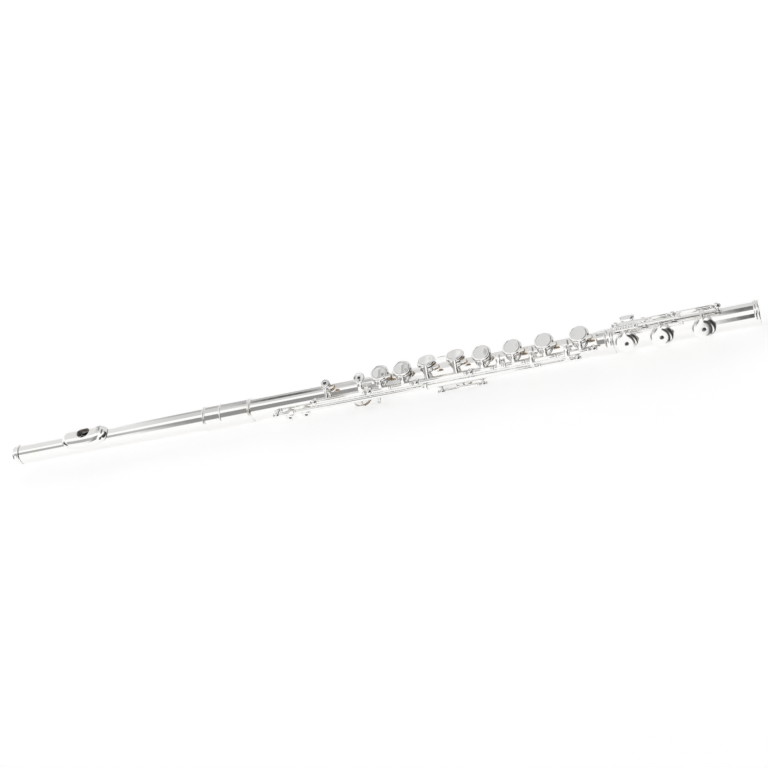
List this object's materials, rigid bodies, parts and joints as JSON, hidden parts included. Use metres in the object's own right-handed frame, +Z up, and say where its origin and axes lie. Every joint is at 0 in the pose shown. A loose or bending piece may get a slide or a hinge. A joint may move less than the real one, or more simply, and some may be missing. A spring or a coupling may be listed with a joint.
{
  "type": "concert flute",
  "caption": "Silver-plated transverse flute: headjoint with lip plate, keyed body with closed cups on hinge rods, and a keyed foot joint.",
  "frame": {"origin": "middle of the bounding box's underside, on the surface that the flute lies on", "axes": "+X along the tube from the crown to the foot end, +Z up through the main key cups, -Y the player's side"},
  "size_m": [0.673, 0.037, 0.0371],
  "materials": {
    "silver": "polished silver plate",
    "steel": "ground steel rod",
    "pad": "thin skin over felt",
    "cork": "natural cork"
  },
  "bodies": {
    "body": {"body_tube": "silver", "barrel": "silver", "upper_rib": "silver", "lower_rib": "silver", "trill_post_base": "silver", "thumb_rib": "silver", "g_sharp_rib": "silver", "left_hand_steel": "steel", "g_steel": "steel", "right_hand_steel": "steel", "thumb_steel": "steel", "g_sharp_steel": "steel"},
    "headjoint": {"headjoint_tube": "silver", "lip_plate": "silver", "embouchure_riser": "silver"},
    "crown": {"crown": "silver"},
    "stopper": {"stopper_screw": "silver", "stopper_cork": "cork", "stopper_plate": "silver"},
    "foot_joint": {"foot_tube": "silver", "foot_socket": "silver", "foot_end_ring": "silver", "foot_rib": "silver", "foot_steel": "steel"},
    "c_sharp": {"c_sharp_key": "silver", "c_sharp_pad": "pad"},
    "b_flat": {"b_flat_key": "silver", "b_flat_pad": "pad"},
    "a": {"a_key": "silver", "a_pad": "pad"},
    "g": {"g_key": "silver", "g_upper_pad": "pad", "g_lower_pad": "pad"},
    "f_sharp": {"f_sharp_key": "silver", "f_sharp_pad": "pad"},
    "f": {"f_key": "silver", "f_pad": "pad"},
    "e": {"e_key": "silver", "e_pad": "pad"},
    "d": {"d_key": "silver", "d_pad": "pad"},
    "d_sharp_trill": {"d_sharp_trill_key": "silver", "d_sharp_trill_pad": "pad"},
    "d_trill": {"d_trill_key": "silver", "d_trill_pad": "pad"},
    "thumb": {"thumb_key": "silver", "thumb_pad": "pad"},
    "g_sharp": {"g_sharp_key": "silver", "g_sharp_pad": "pad"},
    "foot_d_sharp": {"foot_d_sharp_key": "silver", "foot_d_sharp_pad": "pad"},
    "low_c_sharp": {"low_c_sharp_key": "silver", "low_c_sharp_pad": "pad"},
    "low_c": {"low_c_key": "silver", "low_c_pad": "pad"},
    "side_b_flat": {"side_b_flat_lever": "silver"},
    "thumb_b_flat": {"thumb_b_flat_lever": "silver"},
    "low_c_roller": {"low_c_roller": "silver"}
  },
  "joints": [
    {"name": "headjoint_slide", "type": "slide", "parent": "body", "child": "headjoint", "axis": [-1, 0, 0], "range_m": [0, 0.012]},
    {"name": "crown_turn", "type": "hinge", "parent": "headjoint", "child": "crown", "pos_m": [-0.3325, 0.00111, 0.015], "axis": [1, 0, 0], "range_deg": [-360, 360]},
    {"name": "stopper_slide", "type": "slide", "parent": "headjoint", "child": "stopper", "axis": [1, 0, 0], "range_m": [-0.001, 0.001]},
    {"name": "foot_joint_turn", "type": "hinge", "parent": "body", "child": "foot_joint", "pos_m": [0.2155, 0.00111, 0.015], "axis": [1, 0, 0], "range_deg": [-20, 20]},
    {"name": "c_sharp_hinge", "type": "hinge", "parent": "body", "child": "c_sharp", "pos_m": [-0.0115, -0.01189, 0.02344], "axis": [-1, 0, 0], "range_deg": [0, 10], "stiffness_Nm_per_rad": 0.006, "springref_deg": -22.92},
    {"name": "b_flat_hinge", "type": "hinge", "parent": "body", "child": "b_flat", "pos_m": [0.0255, -0.01189, 0.02344], "axis": [-1, 0, 0], "range_deg": [0, 10], "stiffness_Nm_per_rad": 0.006, "springref_deg": -22.92},
    {"name": "a_hinge", "type": "hinge", "parent": "body", "child": "a", "pos_m": [0.0455, -0.01189, 0.02344], "axis": [-1, 0, 0], "range_deg": [0, 10], "stiffness_Nm_per_rad": 0.006, "springref_deg": -22.92},
    {"name": "g_hinge", "type": "hinge", "parent": "body", "child": "g", "pos_m": [0.0795, -0.01189, 0.02344], "axis": [-1, 0, 0], "range_deg": [0, 8], "stiffness_Nm_per_rad": 0.006, "springref_deg": -22.92},
    {"name": "f_sharp_hinge", "type": "hinge", "parent": "body", "child": "f_sharp", "pos_m": [0.1145, -0.01189, 0.02344], "axis": [-1, 0, 0], "range_deg": [0, 10], "stiffness_Nm_per_rad": 0.006, "springref_deg": -22.92},
    {"name": "side_b_flat_hinge", "type": "hinge", "parent": "body", "child": "side_b_flat", "pos_m": [0.1285, -0.01189, 0.02344], "axis": [-1, 0, 0], "range_deg": [0, 8], "stiffness_Nm_per_rad": 0.006, "springref_deg": -22.92},
    {"name": "f_hinge", "type": "hinge", "parent": "body", "child": "f", "pos_m": [0.1405, -0.01189, 0.02344], "axis": [-1, 0, 0], "range_deg": [0, 10], "stiffness_Nm_per_rad": 0.006, "springref_deg": -22.92},
    {"name": "e_hinge", "type": "hinge", "parent": "body", "child": "e", "pos_m": [0.167, -0.01189, 0.02344], "axis": [-1, 0, 0], "range_deg": [0, 10], "stiffness_Nm_per_rad": 0.006, "springref_deg": -22.92},
    {"name": "d_hinge", "type": "hinge", "parent": "body", "child": "d", "pos_m": [0.196, -0.01189, 0.02344], "axis": [-1, 0, 0], "range_deg": [0, 10], "stiffness_Nm_per_rad": 0.006, "springref_deg": -22.92},
    {"name": "d_sharp_trill_hinge", "type": "hinge", "parent": "body", "child": "d_sharp_trill", "pos_m": [-0.062, -0.01399, 0.01849], "axis": [-1, 0, 0], "range_deg": [0, 12], "stiffness_Nm_per_rad": 0.006, "springref_deg": -22.92},
    {"name": "d_trill_hinge", "type": "hinge", "parent": "body", "child": "d_trill", "pos_m": [-0.047, -0.01399, 0.01849], "axis": [-1, 0, 0], "range_deg": [0, 12], "stiffness_Nm_per_rad": 0.006, "springref_deg": -22.92},
    {"name": "thumb_hinge", "type": "hinge", "parent": "body", "child": "thumb", "pos_m": [0.0005, 0.01269, 0.00627], "axis": [1, 0, 0], "range_deg": [0, 9], "stiffness_Nm_per_rad": 0.006, "springref_deg": 28.65},
    {"name": "thumb_b_flat_hinge", "type": "hinge", "parent": "body", "child": "thumb_b_flat", "pos_m": [0.0165, 0.01269, 0.00627], "axis": [1, 0, 0], "range_deg": [0, 9], "stiffness_Nm_per_rad": 0.006, "springref_deg": 28.65},
    {"name": "g_sharp_hinge", "type": "hinge", "parent": "body", "child": "g_sharp", "pos_m": [0.0915, -0.01047, 0.00627], "axis": [-1, 0, 0], "range_deg": [0, 10], "stiffness_Nm_per_rad": 0.006, "springref_deg": -22.92},
    {"name": "foot_d_sharp_hinge", "type": "hinge", "parent": "foot_joint", "child": "foot_d_sharp", "pos_m": [0.2325, 0.00219, 0.03046], "axis": [-1, 0, 0], "range_deg": [0, 10], "stiffness_Nm_per_rad": 0.006, "springref_deg": -22.92},
    {"name": "low_c_sharp_hinge", "type": "hinge", "parent": "foot_joint", "child": "low_c_sharp", "pos_m": [0.2605, 0.00219, 0.03046], "axis": [1, 0, 0], "range_deg": [0, 8], "stiffness_Nm_per_rad": 0.006, "springref_deg": -22.92},
    {"name": "low_c_hinge", "type": "hinge", "parent": "foot_joint", "child": "low_c", "pos_m": [0.2935, 0.00219, 0.03046], "axis": [1, 0, 0], "range_deg": [0, 8], "stiffness_Nm_per_rad": 0.006, "springref_deg": -22.92},
    {"name": "low_c_roller_spin", "type": "hinge", "parent": "low_c", "child": "low_c_roller", "pos_m": [0.235, -0.00652, 0.03516], "axis": [1, 0, 0], "continuous": true}
  ],
  "couplings": [
    {"joint": "stopper_slide", "follows": "crown_turn", "m_per_rad": 0.00015915},
    {"joint": "b_flat_hinge", "follows": "a_hinge", "ratio": 1},
    {"joint": "f_sharp_hinge", "follows": "f_hinge", "ratio": 1},
    {"joint": "low_c_sharp_hinge", "follows": "low_c_hinge", "ratio": 1}
  ]
}
